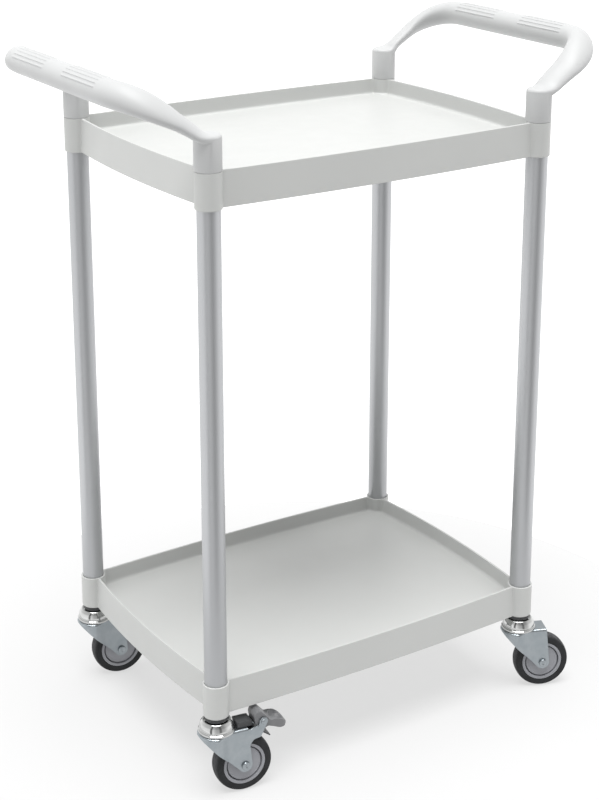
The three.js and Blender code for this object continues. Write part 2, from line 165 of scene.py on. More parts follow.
PLUG = surface("plug_plastic", (0.030, 0.031, 0.033), (0.045, 0.046, 0.048), 0.6, 0.08, cloud=60.0)
SPRING = surface("spring_steel", (0.06, 0.062, 0.066), (0.10, 0.10, 0.105), 0.38, 0.08,
                 metallic=1.0, cloud=80.0)
DUST = (0.085, 0.085, 0.09, 1)
TREAD_START = 38.6      # radius from which the tyre turns dusty


def tyre_surface():
    """Rubber with a dusty, scuffed tread: the wheel's axle is the Y axis of its own coordinates."""
    material = surface("tyre_rubber", (0.013, 0.014, 0.015), (0.023, 0.024, 0.026), 0.66, 0.08,
                       cloud=70.0, grain=1300.0, grain_depth=0.04, specular=0.3)
    tree = material.node_tree
    shader = tree.nodes["Principled BSDF"]
    base = shader.inputs["Base Color"].links[0].from_socket
    coords = node(tree, "ShaderNodeTexCoord")
    apart = node(tree, "ShaderNodeSeparateXYZ")
    flat = node(tree, "ShaderNodeCombineXYZ")
    radius = node(tree, "ShaderNodeVectorMath", operation="LENGTH")
    tree.links.new(coords.outputs["Object"], apart.inputs["Vector"])
    tree.links.new(apart.outputs["X"], flat.inputs["X"])
    tree.links.new(apart.outputs["Z"], flat.inputs["Z"])
    tree.links.new(flat.outputs["Vector"], radius.inputs[0])
    tread = remap(tree, radius.outputs["Value"], 0.0, 0.8, TREAD_START * MM, WHEEL_R * MM)
    patchy = node(tree, "ShaderNodeMath", operation="MULTIPLY")
    tree.links.new(tread, patchy.inputs[0])
    scuffs = remap(tree, field(tree, 160.0, 5.0), 0.1, 1.0, 0.35, 0.65)
    tree.links.new(scuffs, patchy.inputs[1])
    dusty = node(tree, "ShaderNodeMix", data_type="RGBA")
    dusty.inputs["B"].default_value = DUST
    tree.links.new(patchy.outputs["Value"], dusty.inputs["Factor"])
    tree.links.new(base, dusty.inputs["A"])
    tree.links.new(dusty.outputs["Result"], shader.inputs["Base Color"])
    return material


TYRE = tyre_surface()


# ---- mesh helpers --------------------------------------------------------------------

def mesh_object(name, points, faces, caps=()):
    """Object from points in millimetres.

    caps are lists of vertex loops, and each list is filled as one flat area.
    """
    mesh = bpy.data.meshes.new(name)
    mesh.from_pydata([tuple(p) for p in np.asarray(points, float) * MM], [], faces)
    build = bmesh.new()
    build.from_mesh(mesh)
    build.verts.ensure_lookup_table()
    for loops in caps:
        edges = []
        for loop in loops:
            for a, b in zip(loop, loop[1:] + loop[:1]):
                pair = (build.verts[a], build.verts[b])
                edges.append(build.edges.get(pair) or build.edges.new(pair))
        bmesh.ops.triangle_fill(build, use_beauty=True, use_dissolve=False, edges=edges)
    bmesh.ops.recalc_face_normals(build, faces=build.faces)
    build.to_mesh(mesh)
    build.free()
    obj = bpy.data.objects.new(name, mesh)
    bpy.context.scene.collection.objects.link(obj)
    return obj


def bake(obj):
    """Applies the object's modifiers."""
    graph = bpy.context.evaluated_depsgraph_get()
    mesh = bpy.data.meshes.new_from_object(obj.evaluated_get(graph))
    obj.modifiers.clear()
    obj.data = mesh


def combine(obj, other, operation):
    """Joins, cuts or trims an object with another one, which is used up."""
    modifier = obj.modifiers.new("combine", "BOOLEAN")
    modifier.operation = operation
    modifier.solver = "EXACT"
    modifier.object = other
    bake(obj)
    bpy.data.objects.remove(other)


def soften(obj, width, segments, angle):
    """Rounds the edges that are sharper than an angle in degrees."""
    modifier = obj.modifiers.new("soften", "BEVEL")
    modifier.width = width * MM
    modifier.segments = segments
    modifier.limit_method = "ANGLE"
    modifier.angle_limit = math.radians(angle)
    modifier.use_clamp_overlap = False
    bake(obj)


def melt(obj, cell, passes):
    """Rebuilds the surface in small even cells and smooths it, so every edge and crease is rounded."""
    remesh = obj.modifiers.new("remesh", "REMESH")
    remesh.mode = "VOXEL"
    remesh.voxel_size = cell * MM
    even = obj.modifiers.new("even", "SMOOTH")
    even.factor = 0.5
    even.iterations = passes
    bake(obj)


def dress(obj, material, body, nodes, place=None, sharp=35.0, weighted=True, own_origin=False):
    """Shades, paints and places a finished mesh, and lets it ride on its body for the named nodes.

    With own_origin the piece keeps its local coordinates, so its material can follow its axis.
    """
    obj.data.materials.clear()
    obj.data.materials.append(material)
    obj.data.shade_smooth()
    obj.data.set_sharp_from_angle(angle=math.radians(sharp))
    if weighted:
        modifier = obj.modifiers.new("normals", "WEIGHTED_NORMAL")
        modifier.keep_sharp = True
    if own_origin:
        obj.matrix_world = place
    elif place is not None:
        obj.data.transform(place)
    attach(obj, body)
    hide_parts(*nodes)


def lathe(name, profile, segments, axis="Z"):
    """Solid of revolution from (radius, height) pairs.

    A profile that stays off the axis closes on itself.
    """
    angles = np.linspace(0, 2 * math.pi, segments, endpoint=False)
    points, rings, faces = [], [], []
    for radius, height in profile:
        if radius < 1e-6:
            rings.append([len(points)])
            points.append((0, 0, height))
            continue
        rings.append(list(range(len(points), len(points) + segments)))
        points.extend((radius * math.cos(a), radius * math.sin(a), height) for a in angles)
    pairs = list(zip(rings, rings[1:]))
    if len(rings[0]) > 1 and len(rings[-1]) > 1:
        pairs.append((rings[-1], rings[0]))
    for first, second in pairs:
        if len(first) == len(second) == 1:
            continue
        for i in range(segments):
            j = (i + 1) % segments
            if len(first) == 1:
                faces.append((first[0], second[i], second[j]))
            elif len(second) == 1:
                faces.append((first[i], first[j], second[0]))
            else:
                faces.append((first[i], first[j], second[j], second[i]))
    if axis == "Y":
        points = [(x, z, y) for x, y, z in points]
    return mesh_object(name, points, faces)


def skin(levels, count, first=0):
    """Faces between rings of count points each, with the first ring's first point at a given number."""
    faces = []
    for level in range(levels - 1):
        for i in range(count):
            a = first + level * count + i
            b = first + level * count + (i + 1) % count
            faces.append((a, b, b + count, a + count))
    return faces


def loft(name, rings):
    """Skin over closed rings of equal count, with its two ends filled."""
    count = len(rings[0])
    last = (len(rings) - 1) * count
    caps = [[list(range(count))], [list(range(last, last + count))]]
    return mesh_object(name, np.concatenate(rings), skin(len(rings), count), caps)


def rounded(corners, steps=5, closed=True):
    """Polyline through (x, y, radius) corners, each one rounded to its radius."""
    spots = [np.array(c[:2], float) for c in corners]
    result = []
    for i, corner in enumerate(corners):
        here, radius = spots[i], corner[2]
        at_end = not closed and i in (0, len(corners) - 1)
        if radius <= 0 or at_end:
            result.append(here)
            continue
        back, ahead = spots[i - 1] - here, spots[(i + 1) % len(spots)] - here
        reach = min(np.linalg.norm(back), np.linalg.norm(ahead)) * 0.48
        back, ahead = back / np.linalg.norm(back), ahead / np.linalg.norm(ahead)
        half = math.acos(np.clip(back @ ahead, -1, 1)) / 2
        if half > math.pi / 2 - 0.02:
            result.append(here)
            continue
        cut = min(radius / math.tan(half), reach)
        radius = cut * math.tan(half)
        middle = back + ahead
        centre = here + middle / np.linalg.norm(middle) * radius / math.sin(half)
        first, last = here + back * cut - centre, here + ahead * cut - centre
        sweep = math.pi - 2 * half
        for k in range(steps + 1):
            t = k / steps
            toward = math.sin((1 - t) * sweep) * first + math.sin(t * sweep) * last
            result.append(centre + toward / math.sin(sweep))
    return np.array(result)


def arc(cx, cy, radius, start, end, steps):
    """Points on an arc between two angles in degrees."""
    angles = np.radians(np.linspace(start, end, steps + 1))
    return [(cx + radius * math.cos(a), cy + radius * math.sin(a)) for a in angles]


def prism(name, outline, low, high, axis="Z"):
    """Outline pushed along Z, or an (x, z) outline pushed along Y."""
    def ring(level):
        if axis == "Y":
            return np.array([(x, level, z) for x, z in outline])
        return np.array([(x, y, level) for x, y in outline])

    return loft(name, [ring(low), ring(high)])


def block(name, x0, x1, y0, y1, z0, z1):
    """Box between three pairs of limits."""
    return prism(name, [(x0, y0), (x1, y0), (x1, y1), (x0, y1)], z0, z1)


def smooth(value):
    """Eases from 0 to 1 as the value goes from 0 to 1."""
    t = np.clip(value, 0, 1)
    return t * t * (3 - 2 * t)


def quarter(steps=4):
    """Angles of a quarter turn, for edge rounding."""
    return np.linspace(0, math.pi / 2, steps + 1)


# ---- trays ---------------------------------------------------------------------------

RIM_EDGE = 0.85         # rounding of the rim's two edges
# Fillets in plan where the walls meet the sockets
OUTER_FILLET, INNER_FILLET, UNDER_FILLET = 1.3, 5.0, 4.0
# Rounding where the walls meet the floor, above and below
FLOOR_BLEND, UNDER_BLEND = 4.0, 2.0
UNDER_WALL = -2.1       # offset of the skirt's inside at its top
# Underside ribs: place of the cross ribs, depth, half thickness
STIFFENER_X, STIFFENER_DROP, STIFFENER_HALF = 110.0, 13.0, 1.2


def end_wall(y, offset):
    """Point and outward normal of the bowed end wall (at +X), moved outward by an offset."""
    reach = TRAY_SIDE_Y + offset
    point = np.array([TRAY_END_X + offset + END_BOW * (1 - (y / reach) ** 2), y])
    normal = np.array([1.0, 2 * END_BOW * y / reach ** 2])
    return point, normal / np.linalg.norm(normal)


def side_wall(x, offset):
    """Point and outward normal of the bowed side wall (at +Y), moved outward by an offset."""
    reach = TRAY_END_X + offset
    point = np.array([x, TRAY_SIDE_Y + offset + SIDE_BOW * (1 - (x / reach) ** 2)])
    normal = np.array([2 * SIDE_BOW * x / reach ** 2, 1.0])
    return point, normal / np.linalg.norm(normal)


def fillet(wall, offset, low, high, radius, sign):
    """Fillet of that radius between a wall and the socket: (place along the wall, its centre)."""
    post = np.array([POST_X, POST_Y])

    def centre(s):
        point, normal = wall(s, offset)
        return point + sign * radius * normal

    for _ in range(50):
        middle = (low + high) / 2
        if np.linalg.norm(centre(middle) - post) > SOCKET_R + radius:
            low = middle
        else:
            high = middle
    return low, centre(low)


def sweep_angles(start, end, turn, count):
    """Angles from start to end; turn is +1 anticlockwise, -1 clockwise, 0 the short way."""
    delta = (end - start + math.pi) % (2 * math.pi) - math.pi
    if turn > 0 and delta < 0:
        delta += 2 * math.pi
    if turn < 0 and delta > 0:
        delta -= 2 * math.pi
    return start + delta * np.linspace(0, 1, count)


def swing(centre, radius, start, end, turn, count):
    """Arc round a centre, from the direction of one point to the direction of another."""
    bearings = [math.atan2(spot[1] - centre[1], spot[0] - centre[0]) for spot in (start, end)]
    angles = sweep_angles(*bearings, turn, count)
    return [centre + radius * np.array([math.cos(a), math.sin(a)]) for a in angles]


def tray_loop(offset, outer, radius):
    """Plan loop of a tray wall, with a fillet radius at the sockets.

    Gives its points anticlockwise, their outward normals, and each point's share of socket.
    """
    post = np.array([POST_X, POST_Y])
    sign = 1 if outer else -1
    socket_steps = 44 if outer else 20
    end_at, end_centre = fillet(end_wall, offset, 100.0, 179.0, radius, sign)
    side_at, side_centre = fillet(side_wall, offset, 180.0, 253.0, radius, sign)
    end_touch, _ = end_wall(end_at, offset)
    side_touch, _ = side_wall(side_at, offset)
    along_end = [end_wall(y, offset)[0] for y in np.linspace(0, end_at, 22)]
    into_socket = swing(end_centre, radius, end_touch, post, 0, 8)[1:-1]
    round_socket = swing(post, SOCKET_R, end_centre, side_centre, sign, socket_steps)
    out_of_socket = swing(side_centre, radius, post, side_touch, 0, 10)[1:-1]
    along_side = [side_wall(x, offset)[0] for x in np.linspace(side_at, 0, 30)]
    first = np.array([*along_end, *into_socket, *round_socket, *out_of_socket, *along_side])
    share = np.concatenate([
        np.zeros(len(along_end)), np.linspace(0, 1, 8)[1:-1], np.ones(socket_steps),
        np.linspace(1, 0, 10)[1:-1], np.zeros(len(along_side))])
    flips = [(1, 1, 1), (-1, 1, -1), (-1, -1, 1), (1, -1, -1)]
    loop = np.concatenate([(first * (fx, fy))[::order][:-1] for fx, fy, order in flips])
    weight = np.concatenate([share[::order][:-1] for _, _, order in flips])
    tangent = np.roll(loop, -1, 0) - np.roll(loop, 1, 0)
    normal = np.stack([tangent[:, 1], -tangent[:, 0]], 1)
    return loop, normal / np.linalg.norm(normal, axis=1, keepdims=True), weight


def level_ring(loop, shift, height):
    """Ring of points at a height: a plan loop (points, normals, share) moved along its normals."""
    points = loop[0] + loop[1] * np.reshape(shift * np.ones(len(loop[0])), (-1, 1))
    return np.column_stack([points, height * np.ones(len(points))])


def between(first, second, share):
    """Plan loop between two others with the same point order."""
    return tuple(a + (b - a) * share for a, b in zip(first, second))


def rounded_rings(loop, shift, level, radius, steps=4):
    """Rings of a quarter round from an upright wall to a flat level; the signs give its direction."""
    return [level_ring(loop, shift * (1 - math.cos(a)), level - radius * (1 - math.sin(a)))
            for a in quarter(steps)]


def bore_rings(sx, sy, profile):
    """Rings of a socket's bore at one corner, from (radius, height) pairs."""
    angles = np.linspace(0, 2 * math.pi, 48, endpoint=False)
    rings = []
    for radius, height in profile:
        x = sx * POST_X + radius * np.cos(angles)
        y = sy * POST_Y + radius * np.sin(angles)
        rings.append(np.column_stack([x, y, np.full(len(angles), height)]))
    return rings


def tray(name, rim, lower):
    """Tray with its rim at a given level; the lower one's sockets have a closed bottom."""
    floor_top = rim - RECESS_DEPTH
    floor_under = floor_top - FLOOR_THICK
    skirt = rim - WALL_HEIGHT
    drop = SOCKET_HEIGHT - WALL_HEIGHT
    under_offset = WALL_DRAFT - WALL_THICK
    outer_low, outer_high = (tray_loop(o, True, OUTER_FILLET) for o in (WALL_DRAFT, 0.0))
    inner_low, inner_high = (tray_loop(o, False, INNER_FILLET) for o in (-WALL_THICK - 1, -WALL_THICK))
    under_low, under_high = (tray_loop(o, False, UNDER_FILLET) for o in (under_offset, UNDER_WALL))

    outside = []
    curl = 0.8 + 0.9 * outer_low[2]
    foot = skirt - drop * outer_low[2]
    for a in quarter():
        outside.append(level_ring(outer_low, -curl * (1 - math.sin(a)), foot + curl * (1 - math.cos(a))))
    for t in (0.33, 0.67):
        height = skirt + 2 + (WALL_HEIGHT - 3) * t
        outside.append(level_ring(between(outer_low, outer_high, t), 0, height))
    outside += rounded_rings(outer_high, -RIM_EDGE, rim, RIM_EDGE)

    inside = []
    for a in quarter():
        shift, fall = RIM_EDGE * (1 - math.sin(a)), RIM_EDGE * (1 - math.cos(a))
        inside.append(level_ring(inner_high, shift, rim - fall))
    for t in (0.4, 0.75):
        inside.append(level_ring(between(inner_high, inner_low, t), 0, rim - RECESS_DEPTH * t))
    inside += rounded_rings(inner_low, -FLOOR_BLEND, floor_top, -FLOOR_BLEND, 6)[1:]

    under = []
    foot = skirt - drop * under_low[2]
    for a in quarter(3):
        shift, lift = 0.7 * (1 - math.sin(a)), 0.7 * (1 - math.cos(a))
        under.append(level_ring(under_low, shift, foot + lift))
    under += rounded_rings(under_high, -UNDER_BLEND, floor_under, UNDER_BLEND)

    points, faces = [], []

    def add(rings):
        """Adds a skin over the rings and gives the point numbers of its first and last ring."""
        first = sum(len(p) for p in points)
        count = len(rings[0])
        last = first + (len(rings) - 1) * count
        points.extend(rings)
        faces.extend(skin(len(rings), count, first))
        return list(range(first, first + count)), list(range(last, last + count))

    outside_foot, outside_top = add(outside)
    inside_top, inside_floor = add(inside)
    under_foot, under_roof = add(under)
    base = rim - SOCKET_HEIGHT
    web = base + WEB_THICK
    snug = POST_R + 0.08
    profile = [(POST_R + 0.4, rim), (snug, rim - 0.35), (snug, rim - 2)]
    if lower:
        profile += [(BORE_R, web), (STEM_HOLE_R, web), (STEM_HOLE_R, base)]
    else:
        profile += [(BORE_R, base + 0.6), (BORE_R + 0.4, base)]
    bores = [add(bore_rings(sx, sy, profile)) for sx in (-1, 1) for sy in (-1, 1)]
    rim_cap = [outside_top, inside_top, *(top for top, _ in bores)]
    foot_cap = [outside_foot, under_foot, *(bottom for _, bottom in bores)]
    faces.append(tuple(inside_floor))
    obj = mesh_object(name, np.concatenate(points), faces, [rim_cap, foot_cap, [under_roof]])

    low, high = floor_under - STIFFENER_DROP, floor_under + 1
    for x in (-STIFFENER_X, STIFFENER_X):
        reach = side_wall(x, under_offset + 1)[0][1]
        stiffener = block("rib", x - STIFFENER_HALF, x + STIFFENER_HALF, -reach, reach, low, high)
        combine(obj, stiffener, "UNION")
    reach = end_wall(0, under_offset + 1)[0][0]
    stiffener = block("rib", -reach, reach, -STIFFENER_HALF, STIFFENER_HALF, low, high)
    combine(obj, stiffener, "UNION")
    return obj


for name, rim in (("tray_upper", UPPER_RIM), ("tray_lower", LOWER_RIM)):
    shell = tray(f"{name}_shell", rim, name == "tray_lower")
    dress(shell, TRAY, "frame", [name], sharp=40)


# ---- handles -------------------------------------------------------------------------

GRIP_HALF_WIDTH, GRIP_HALF_THICK = 17.7, 16.9
ARM_HALF_WIDTH, ARM_HALF_THICK = 17.2, 7.4
ARM_TILT, GRIP_TILT = 21.0, 35.0                # outward lean of the section, in degrees
ARM_SWELL = 2.2                                 # extra half width halfway along the arm
RISE_POWER = 1.25                               # how much of the arm's rise comes early
RIB_GROUP = (26.0, 118.0)                       # ends of the ribs, from the middle of the grip
RIB_COUNT, RIB_ARC, RIB_LIFT = 8, 126.0, 0.85   # the arc in degrees that they cover, their height
CAP_R, CAP_POWER = 17.3, 3.2                    # radius and squareness of the arm's end
ROOT_EASE = 7.0                                 # length over which the arm's slope starts
RING_POINTS = 216                               # points round the bar
STRAIGHT = GRIP_X - CORNER_R - ARM_START_X      # length of the arm before its bend
BEND = CORNER_R * math.pi / 2                   # length of the bend


def arm_height(x):
    """Height of the bar's centre, which rises to the grip with a slope that eases off."""
    t = np.clip((x - ARM_START_X) / (GRIP_X - ARM_START_X), 0, 1)
    return GRIP_Z - (GRIP_Z - ARM_ROOT_Z) * (1 - t) ** RISE_POWER


def handle_point(s):
    """Centre of the handle bar at a length along its path, from one socket round to the grip."""
    if s < STRAIGHT:
        x, y = ARM_START_X + s, POST_Y
    elif s < STRAIGHT + BEND:
        a = (s - STRAIGHT) / CORNER_R
        x = GRIP_X - CORNER_R + CORNER_R * math.sin(a)
        y = POST_Y - CORNER_R + CORNER_R * math.cos(a)
    else:
        x, y = GRIP_X, POST_Y - CORNER_R - (s - STRAIGHT - BEND)
    reach = ROOT_EASE * (1 - smooth(s / 60))
    return np.array([x, y, arm_height(x + reach * np.linspace(-1, 1, 9)).mean()])


def rib_height(bearing, y):
    """Height of the grip ribs at a bearing round the grip in degrees and a place along it."""
    start, end = RIB_GROUP
    along = smooth((abs(y) - start) / 3.0) * smooth((end - abs(y)) / 3.0)
    pitch = RIB_ARC / (RIB_COUNT - 1)
    first = 90 - RIB_ARC / 2
    position = (bearing - first) / pitch
    nearest = np.clip(np.round(position), 0, RIB_COUNT - 1)
    away = np.abs(position - nearest) * np.radians(pitch) * GRIP_HALF_WIDTH
    return RIB_LIFT * along * smooth((1.45 - away) / 0.9)


def handle_ring(s):
    """Cross-section of the bar at a length along its path, with the ribs on its straight grip."""
    centre = handle_point(s)
    ahead = handle_point(s + 0.5) - handle_point(s - 0.5)
    ahead /= np.linalg.norm(ahead)
    outward = np.array([-ahead[1], ahead[0], 0.0])
    outward /= np.linalg.norm(outward)
    upward = np.cross(ahead, outward)
    growth = float(smooth(s / (STRAIGHT + BEND)))
    width = ARM_HALF_WIDTH + (GRIP_HALF_WIDTH - ARM_HALF_WIDTH) * growth
    width += ARM_SWELL * math.sin(math.pi * growth)
    thick = ARM_HALF_THICK + (GRIP_HALF_THICK - ARM_HALF_THICK) * growth
    tilt = math.radians(ARM_TILT + (GRIP_TILT - ARM_TILT) * growth)
    past_post = centre[0] - POST_X
    tilt *= float(smooth((past_post - 1) / 20))
    power = CAP_POWER - (CAP_POWER - 2) * float(smooth((past_post + 3) / 26))
    if past_post < 0:
        inside = -past_post / CAP_R
        width = CAP_R * math.sqrt(1 - inside ** 2)
        thick *= (1 - inside ** CAP_POWER) ** (1 / CAP_POWER)
    across = outward * math.cos(tilt) - upward * math.sin(tilt)
    normal = upward * math.cos(tilt) + outward * math.sin(tilt)
    angles = np.linspace(0, 2 * math.pi, RING_POINTS, endpoint=False)
    circle = (np.cos(angles), np.sin(angles))
    round_x, round_z = (np.sign(v) * np.abs(v) ** (2 / power) for v in circle)
    flat = np.stack([width * round_x, thick * round_z], 1)
    if growth >= 1:
        bearing = np.degrees(np.arctan2(flat[:, 1], flat[:, 0])) - GRIP_TILT
        bearing = (bearing + 360) % 360
        flat *= (1 + rib_height(bearing, centre[1]) / np.linalg.norm(flat, axis=1))[:, None]
    return centre + flat[:, :1] * across + flat[:, 1:] * normal


def handle(name):
    """Right-hand handle: bar, ribbed grip and the two sockets it stands on."""
    middle = STRAIGHT + BEND + POST_Y - CORNER_R
    start, end = (middle - r for r in reversed(RIB_GROUP))
    cap = [POST_X - ARM_START_X - CAP_R * math.sin(a) for a in np.radians(np.linspace(86, 0, 11))]
    stations = [*cap, *np.linspace(-2, 24, 11), *np.linspace(24, STRAIGHT, 5)[1:]]
    stations.extend(np.linspace(STRAIGHT, STRAIGHT + BEND, 28)[1:])
    for edge, steps in ((start, (0, 1, 2, 3)), (end, (-3, -2, -1, 0))):
        stations.extend(edge + s for s in steps)
    stations = sorted([*stations, start - 1.5, (start + end) / 2, end + 1.5, middle - 8])
    half = [handle_ring(s) for s in stations if s < middle - 1]
    rings = half + [ring * (1, -1, 1) for ring in reversed(half)]
    bar = loft(name, rings)
    foot = UPPER_RIM + 0.3
    outside = rounded([(0, foot, 0), (SOCKET_R, foot, 0.5), (SOCKET_R, HANDLE_TOP, 0.15),
                       (0, HANDLE_TOP, 0)], 4, closed=False)
    inside = [(0, foot - 2), (BORE_R, foot - 2), (BORE_R, HANDLE_BORE_TOP), (0, HANDLE_BORE_TOP)]
    for side in (-1, 1):
        place = Matrix.Translation(Vector((POST_X, side * POST_Y, 0)) * MM)
        for profile, segments, operation in ((outside, 96, "UNION"), (inside, 90, "DIFFERENCE")):
            tool = lathe("socket", profile, segments)
            tool.data.transform(place)
            combine(bar, tool, operation)
    return bar


right = handle("handle_right_bar")
left = bpy.data.objects.new("handle_left_bar", right.data.copy())
left.data.transform(Matrix.Rotation(math.pi, 4, "Z"))
bpy.context.scene.collection.objects.link(left)
for obj, name in ((right, "handle_right"), (left, "handle_left")):
    dress(obj, HANDLE, "frame", [name], sharp=32, weighted=False)


# ---- casters and posts ---------------------------------------------------------------

CROWN_R = 25.8          # round front of the fork's crown
CROWN_EDGE = 3.4        # rounding of its top edge
EAR_R = 9.9             # ends of the legs round the axle
BRAKE_EAR_R = 6.0       # ends of the brake cheeks round the pivot
PEDAL_HALF_WIDTH = 13.6
MELT_CELL, MELT_PASSES = 0.6, 12    # rounding of the pedal


def fork_outline(inset):
    """Plan of the pressed fork: a round crown that blends into two flat legs."""
    half = arc(0, 0, CROWN_R, 180, 105, 18)
    blend = np.array([(-6.68, 24.92), (2.0, 25.5), (6.5, 15.15), (20.5, FORK_HALF_WIDTH)])
    for t in np.linspace(0, 1, 15)[1:]:
        weights = np.array([(1 - t) ** 3, 3 * t * (1 - t) ** 2, 3 * t * t * (1 - t), t ** 3])
        half.append(tuple(weights @ blend))
    half.append((82.0, FORK_HALF_WIDTH))
    outline = np.array([*half, *[(x, -y) for x, y in half[:0:-1]]])[::-1]
    tangent = np.roll(outline, -1, 0) - np.roll(outline, 1, 0)
    normal = np.stack([tangent[:, 1], -tangent[:, 0]], 1)
    normal /= np.linalg.norm(normal, axis=1, keepdims=True)
    ends = outline[:, 0] > 80
    normal[ends] = np.stack([np.zeros(ends.sum()), np.sign(outline[ends, 1])], 1)
    return outline - normal * inset


def fork_ring(inset, height):
    """Plan of the fork at a height, moved inward."""
    outline = fork_outline(inset)
    return np.column_stack([outline, np.full(len(outline), height)])


def fork(name, brake):
    """Pressed sheet fork, with two cheeks for the pedal on a braked caster."""
    rings = [fork_ring(0, 10.0)]
    for a in quarter(6):
        inset, fall = CROWN_EDGE * (1 - math.cos(a)), CROWN_EDGE * (1 - math.sin(a))
        rings.append(fork_ring(inset, CROWN_TOP - fall))
    body = loft(name, rings)
    roof = CROWN_TOP - CROWN_THICK
    hollow = [fork_ring(FORK_SHEET, 5.0), fork_ring(FORK_SHEET, roof - 0.8),
              fork_ring(FORK_SHEET + 0.25, roof - 0.2), fork_ring(FORK_SHEET + 0.8, roof)]
    combine(body, loft("hollow", hollow), "DIFFERENCE")
    side = [(-28, 97, 0), (-28, 90.6, 0), (-25.6, 90.6, 0)]
    side += [(x, z, 0) for x, z in arc(TRAIL, WHEEL_R, EAR_R, 223, 368, 20)]
    side += [(42.2, 67, 3), (39.5, 92, 3), (39.0, 97, 0)]
    combine(body, prism("side", rounded(side), -40, 40, "Y"), "INTERSECT")
    if brake:
        plate = [(37.5, 60, 0), (41.6, 62, 0), (42.2, 69.5, 5), (47.5, 76, 5), (57.2, 77.4, 5)]
        plate += [(x, z, 0) for x, z in arc(PIVOT_U, PIVOT_Z, BRAKE_EAR_R, -20, 180, 18)]
        plate += [(54.4, 94.2, 2), (49.0, 93.9, 0), (37.5, 90.6, 0)]
        cheeks = prism("cheeks", rounded(plate), -FORK_HALF_WIDTH, FORK_HALF_WIDTH, "Y")
        inner = FORK_HALF_WIDTH - FORK_SHEET
        combine(cheeks, block("gap", 30, 80, -inner, inner, 50, 120), "DIFFERENCE")
        combine(body, cheeks, "UNION")
    combine(body, lathe("hole", [(0, 80), (5.8, 80), (5.8, 100), (0, 100)], 32), "DIFFERENCE")
    soften(body, 0.45, 2, 55)
    return body


def pedal(name):
    """Toggle pedal: a raised inner lobe over the pivot and a dished outer paddle."""
    side = [(50.6, 95, 2), (54.8, 88.9, 4), (61, 85.5, 4), (66, 87.2, 4), (69.8, 89.4, 4), (75, 87.8, 6),
            (84.4, 83.6, 10), (93.4, 82.2, 4), (96.8, 84.4, 3), (96, 88.6, 5), (91.3, 93.6, 8),
            (84.5, 97.6, 8), (77.5, 98.8, 5), (72, 98.6, 4), (66.6, 105.0, 8), (59.5, 113.2, 5),
            (54.4, 114, 4), (50.8, 111, 4), (48.9, 105.6, 6)]
    body = prism(name, rounded(side), -20, 20, "Y")
    half = [(46, 11.8, 0), (67.5, 11.8, 4), (72, PEDAL_HALF_WIDTH, 5), (86.5, PEDAL_HALF_WIDTH, 0)]
    plan = [*half, *[(x, y, 0) for x, y in arc(84.6, 0, PEDAL_HALF_WIDTH, 84, 6, 14)]]
    plan += [(x, -y, r) for x, y, r in plan[::-1]]
    combine(body, prism("plan", rounded(plan), 60, 130), "INTERSECT")
    bowl = [(math.cos(a), math.sin(a)) for a in np.linspace(-1.4, 1.4, 25)]
    dish = lathe("dish", [(0, -1), *bowl, (0, 1)], 64)
    tilt = Matrix.Rotation(math.radians(24), 4, "Y")
    spot = Matrix.Translation(Vector((85.0, 0, 99.2)) * MM)
    dish.data.transform(spot @ tilt @ Matrix.Diagonal((11.2, 11.2, 10.6, 1)))
    combine(body, dish, "DIFFERENCE")
    melt(body, MELT_CELL, MELT_PASSES)
    return body


def swivel(corner, place):
    """Stem, collar and race, which stay with the frame."""
    stem = lathe(f"stem_{corner}_round", rounded([
        (0, 87, 0), (11, 87, 1), (11, 90.6, 0.6), (5, 90.6, 0.4), (5, 153, 1), (0, 153, 0)],
        4, closed=False), 40)
    dress(stem, ZINC, "frame", [f"stem_{corner}"], place)
    # The collar is a real part, painted near-black as painted shade for the dark gap between the race's
    # top and the socket above
    collar = lathe(f"collar_{corner}_ring", rounded([
        (5.4, 112.1, 0), (15.9, 112.1, 0.3), (15.4, 113.4, 0.5), (15.2, 116.0, 0.5), (15.6, 117.0, 0.2),
        (5.4, 117.0, 0)], 4), 64)
    dress(collar, DARK_AND_GAP_SHADE, "frame", [f"collar_{corner}"], place)
    race = lathe(f"race_{corner}_dome", rounded([
        (5.4, 94.6, 0), (24.0, 94.6, 0.5), (24.6, 95.4, 0.6), (24.6, 97.6, 0.8), (22.6, 98.7, 0.6),
        (23.3, 100.6, 1.4), (22.9, 103.6, 9), (21.4, 107.6, 7), (18.6, 111.2, 2.2), (16.9, 111.4, 0.5),
        (16.7, 108.2, 0.2), (5.4, 108.2, 0)], 7), 112)
    dress(race, CHROME, "frame", [f"race_{corner}"], place, sharp=45, weighted=False)


def axle_parts(corner, hub, body):
    """Axle with its round head, and the hexagon nut on the far side."""
    dome = [(5.8 - 1.6 * (1 - math.cos(a)), -16.9 - 1.5 * math.sin(a)) for a in quarter(5)[::-1]]
    axle = lathe(f"axle_{corner}_bolt", [
        (0, -17.5), (1.5, -17.6), (2.3, -18.3), (3.2, -18.5), *dome,
        (5.8, -15.3), (4, -15.3), (4, 21.2), (3.4, 22), (0, 22)], 48, "Y")
    dress(axle, ZINC, body, [f"axle_{corner}"], hub, sharp=50, weighted=False)
    hexagon = arc(0, 0, 13 / math.sqrt(3), 0, 300, 5)
    nut = prism(f"axle_nut_{corner}_hex", hexagon, 15.3, 23.0, "Y")
    round_nut = [(4.4, 10), (7.8, 10), (7.8, 19.9), (6.5, 20.8), (4.4, 20.8)]
    combine(nut, lathe("chamfer", round_nut, 48, "Y"), "INTERSECT")
    dress(nut, ZINC, body, [f"axle_nut_{corner}"], hub, sharp=30)


